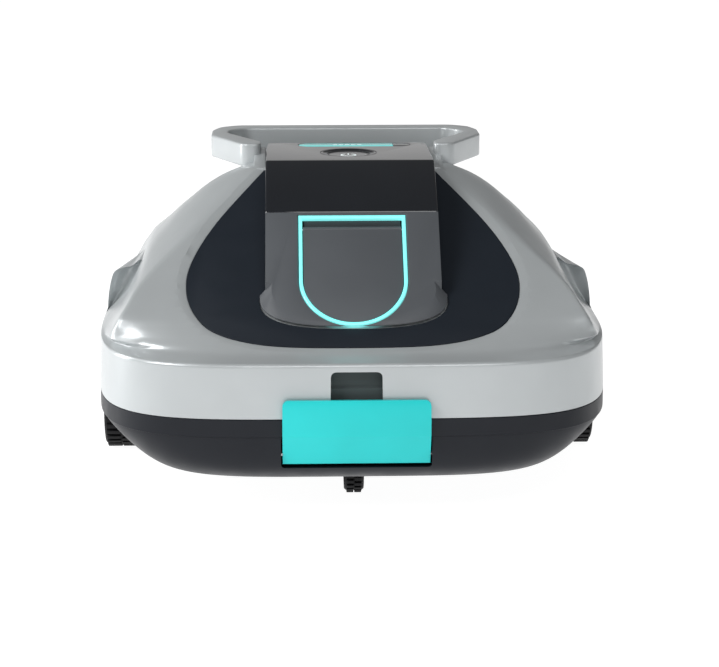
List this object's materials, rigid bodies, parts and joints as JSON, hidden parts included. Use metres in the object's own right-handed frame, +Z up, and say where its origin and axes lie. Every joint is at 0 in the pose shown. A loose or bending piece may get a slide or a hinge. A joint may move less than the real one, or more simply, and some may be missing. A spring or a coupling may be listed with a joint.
{
  "type": "robotic pool cleaner",
  "caption": "Low cordless pool floor cleaner: silver shell over a dark hull, teal snap latches, hinged outlet flaps, a filter tray inside, side rollers and a loop handle.",
  "frame": {"origin": "on the ground under the middle of the body, at the centre of the box's bottom face", "axes": "+X to the right seen from the front, +Y from the front to the rear, +Z up"},
  "size_m": [0.351, 0.3984, 0.218],
  "materials": {
    "silver_shell": "satin silver paint on plastic",
    "hull_plastic": "matt charcoal",
    "inlay_plastic": "fine matt blue-black",
    "gloss_cover": "piano gloss",
    "grey_plastic": "satin dark grey",
    "teal_plastic": "satin teal",
    "light_window": "lit diffuser",
    "black_rubber": "matt",
    "seal_rubber": "matt",
    "steel": "brushed",
    "inner_plastic": "matt",
    "tray_plastic": "matt",
    "screen_mesh": "woven",
    "cell_wrap": "shrink wrap",
    "board": "solder mask"
  },
  "bodies": {
    "base": {"lower_hull": "hull_plastic", "rim_seal": "seal_rubber", "intake_throat": "inner_plastic", "throat_screw_1": "steel", "throat_screw_2": "steel", "throat_screw_3": "steel", "throat_screw_4": "steel", "front_brush_strip": "black_rubber", "rear_brush_strip": "black_rubber", "front_latch_pin": "steel", "rear_latch_pin": "steel", "front_wheel_axle": "steel", "rear_wheel_axle": "steel", "left_axle": "steel", "right_axle": "steel"},
    "upper": {"upper_shell": "silver_shell", "left_scoop": "silver_shell", "right_scoop": "silver_shell", "front_inlay": "inlay_plastic", "rear_inlay": "inlay_plastic", "front_outlet_cover": "grey_plastic", "rear_outlet_cover": "grey_plastic", "front_outlet_frame": "teal_plastic", "rear_outlet_frame": "teal_plastic", "front_flap_pin": "steel", "rear_flap_pin": "steel", "front_duct": "inner_plastic", "rear_duct": "inner_plastic", "front_motor": "steel", "rear_motor": "steel", "pod_tub": "inner_plastic", "pod_seal": "seal_rubber", "pod_lid": "inner_plastic", "battery_pack": "cell_wrap", "control_board": "board", "top_cover": "gloss_cover", "button_bezel": "gloss_cover", "button_spring": "steel", "status_light": "light_window", "charge_socket": "inner_plastic", "handle": "silver_shell"},
    "filter_tray": {"filter_frame": "tray_plastic", "filter_screen": "screen_mesh"},
    "front_latch": {"front_latch": "teal_plastic"},
    "rear_latch": {"rear_latch": "teal_plastic"},
    "front_wheel": {"front_wheel": "black_rubber"},
    "rear_wheel": {"rear_wheel": "black_rubber"},
    "left_roller": {"left_roller": "black_rubber"},
    "right_roller": {"right_roller": "black_rubber"},
    "front_intake_flap": {"front_intake_flap": "seal_rubber"},
    "rear_intake_flap": {"rear_intake_flap": "seal_rubber"},
    "front_outlet_flap": {"front_outlet_flap": "grey_plastic"},
    "rear_outlet_flap": {"rear_outlet_flap": "grey_plastic"},
    "front_drive": {"front_shaft": "steel", "front_propeller": "inner_plastic"},
    "rear_drive": {"rear_shaft": "steel", "rear_propeller": "inner_plastic"},
    "power_button": {"power_button": "gloss_cover"},
    "charge_cap": {"charge_cap": "black_rubber"}
  },
  "joints": [
    {"name": "upper_lift", "type": "slide", "parent": "base", "child": "upper", "axis": [0, 0, 1], "range_m": [0, 0.25]},
    {"name": "filter_lift", "type": "slide", "parent": "base", "child": "filter_tray", "axis": [0, 0, 1], "range_m": [0, 0.125]},
    {"name": "front_latch_swing", "type": "hinge", "parent": "base", "child": "front_latch", "pos_m": [0, -0.186, 0.045], "axis": [1, 0, 0], "range_deg": [0, 75]},
    {"name": "front_wheel_spin", "type": "hinge", "parent": "base", "child": "front_wheel", "pos_m": [0, -0.1216, 0.021], "axis": [1, 0, 0], "continuous": true},
    {"name": "front_intake_flap_swing", "type": "hinge", "parent": "filter_tray", "child": "front_intake_flap", "pos_m": [0, -0.02, 0.0279], "axis": [1, 0, 0], "range_deg": [0, 70]},
    {"name": "front_outlet_flap_swing", "type": "hinge", "parent": "upper", "child": "front_outlet_flap", "pos_m": [0, -0.09606, 0.17509], "axis": [-1, 0, 0], "range_deg": [0, 60]},
    {"name": "front_drive_spin", "type": "hinge", "parent": "upper", "child": "front_drive", "pos_m": [0, -0.12222, 0.15224], "axis": [0, -0.7024, 0.7118], "continuous": true},
    {"name": "rear_latch_swing", "type": "hinge", "parent": "base", "child": "rear_latch", "pos_m": [0, 0.186, 0.045], "axis": [-1, 0, 0], "range_deg": [0, 75]},
    {"name": "rear_wheel_spin", "type": "hinge", "parent": "base", "child": "rear_wheel", "pos_m": [0, 0.1216, 0.021], "axis": [1, 0, 0], "continuous": true},
    {"name": "rear_intake_flap_swing", "type": "hinge", "parent": "filter_tray", "child": "rear_intake_flap", "pos_m": [0, 0.02, 0.0279], "axis": [-1, 0, 0], "range_deg": [0, 70]},
    {"name": "rear_outlet_flap_swing", "type": "hinge", "parent": "upper", "child": "rear_outlet_flap", "pos_m": [0, 0.09606, 0.17509], "axis": [1, 0, 0], "range_deg": [0, 60]},
    {"name": "rear_drive_spin", "type": "hinge", "parent": "upper", "child": "rear_drive", "pos_m": [0, 0.12222, 0.15224], "axis": [0, 0.7024, 0.7118], "continuous": true},
    {"name": "left_roller_spin", "type": "hinge", "parent": "base", "child": "left_roller", "pos_m": [-0.16375, 0, 0.029], "axis": [1, 0, 0], "continuous": true},
    {"name": "right_roller_spin", "type": "hinge", "parent": "base", "child": "right_roller", "pos_m": [0.16375, 0, 0.029], "axis": [1, 0, 0], "continuous": true},
    {"name": "power_button_press", "type": "slide", "parent": "upper", "child": "power_button", "axis": [0, 0, -1], "range_m": [0, 0.0015], "stiffness_N_per_m": 300, "springref_m": -0.001, "deforming": ["button_spring"]},
    {"name": "charge_cap_swing", "type": "hinge", "parent": "upper", "child": "charge_cap", "pos_m": [0, 0.05629, 0.21036], "axis": [1, 0, 0], "range_deg": [0, 110]}
  ],
  "couplings": [
    {"joint": "filter_lift", "follows": "upper_lift", "ratio": 0.5}
  ]
}
